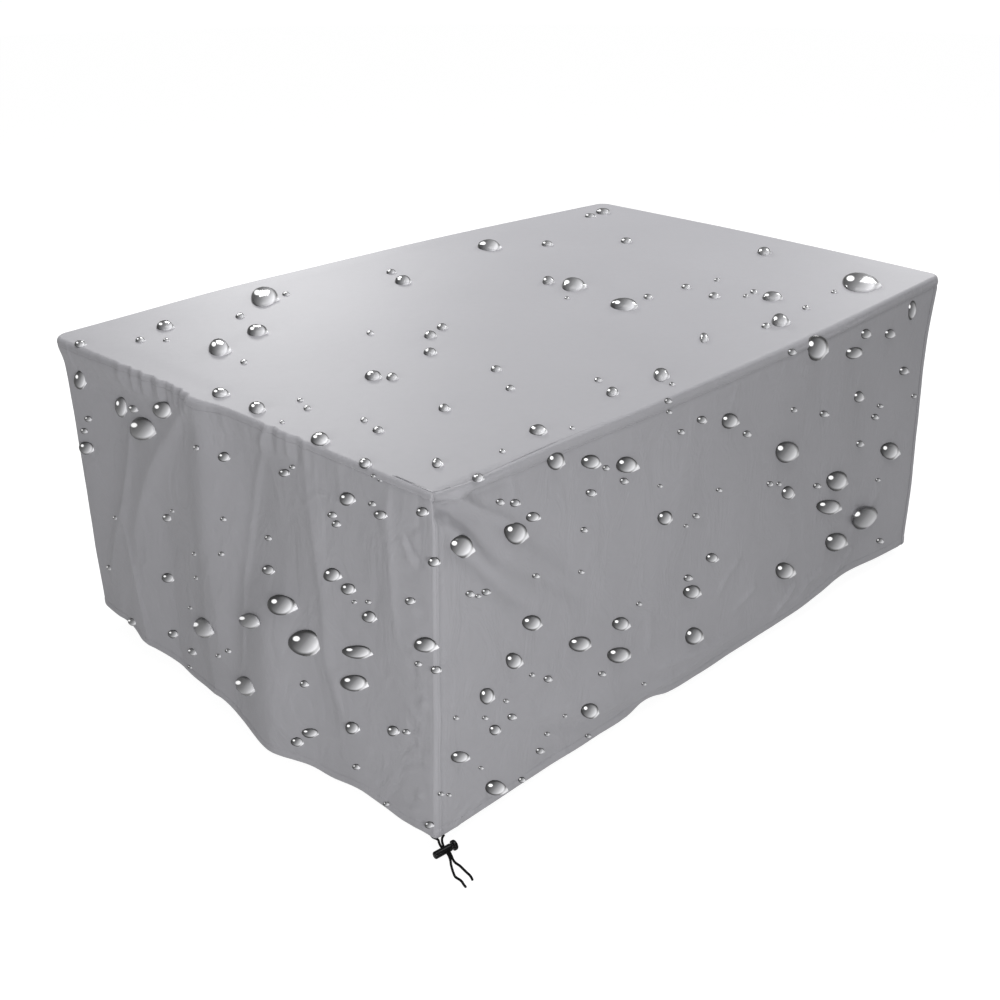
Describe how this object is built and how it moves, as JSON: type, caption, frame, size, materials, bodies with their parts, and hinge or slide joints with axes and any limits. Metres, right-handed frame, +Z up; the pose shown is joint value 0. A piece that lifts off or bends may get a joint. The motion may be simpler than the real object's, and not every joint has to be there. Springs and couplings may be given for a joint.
{
  "type": "patio furniture cover",
  "caption": "Rectangular fitted cover of light grey coated cloth, hollow and open below, with a turned-down top, four draped walls, and a drawcord with a barrel lock at one bottom corner",
  "frame": {"origin": "middle of the underside of the top panel, where the cover lies on the furniture", "axes": "+X along the long side, +Y along the short side away from the drawcord's corner, +Z up out of the top"},
  "size_m": [1.8961, 1.382, 0.7519],
  "materials": {
    "cloth": "coated, plain weave, wet with drops",
    "cord": "braided",
    "lock": "smooth"
  },
  "bodies": {
    "cover": {"top_panel": "cloth", "long_panel_front": "cloth", "long_panel_back": "cloth", "end_panel_left": "cloth", "end_panel_right": "cloth", "drawcord_left": "cord", "drawcord_right": "cord", "cord_lock_barrel": "lock"},
    "lock_plunger": {"cord_lock_plunger": "lock"}
  },
  "joints": [
    {"name": "lock_button", "type": "slide", "parent": "cover", "child": "lock_plunger", "axis": [0.9865, -0.1525, 0.0605], "range_m": [-0.004, 0], "stiffness_N_per_m": 400, "springref_m": 0.004}
  ]
}
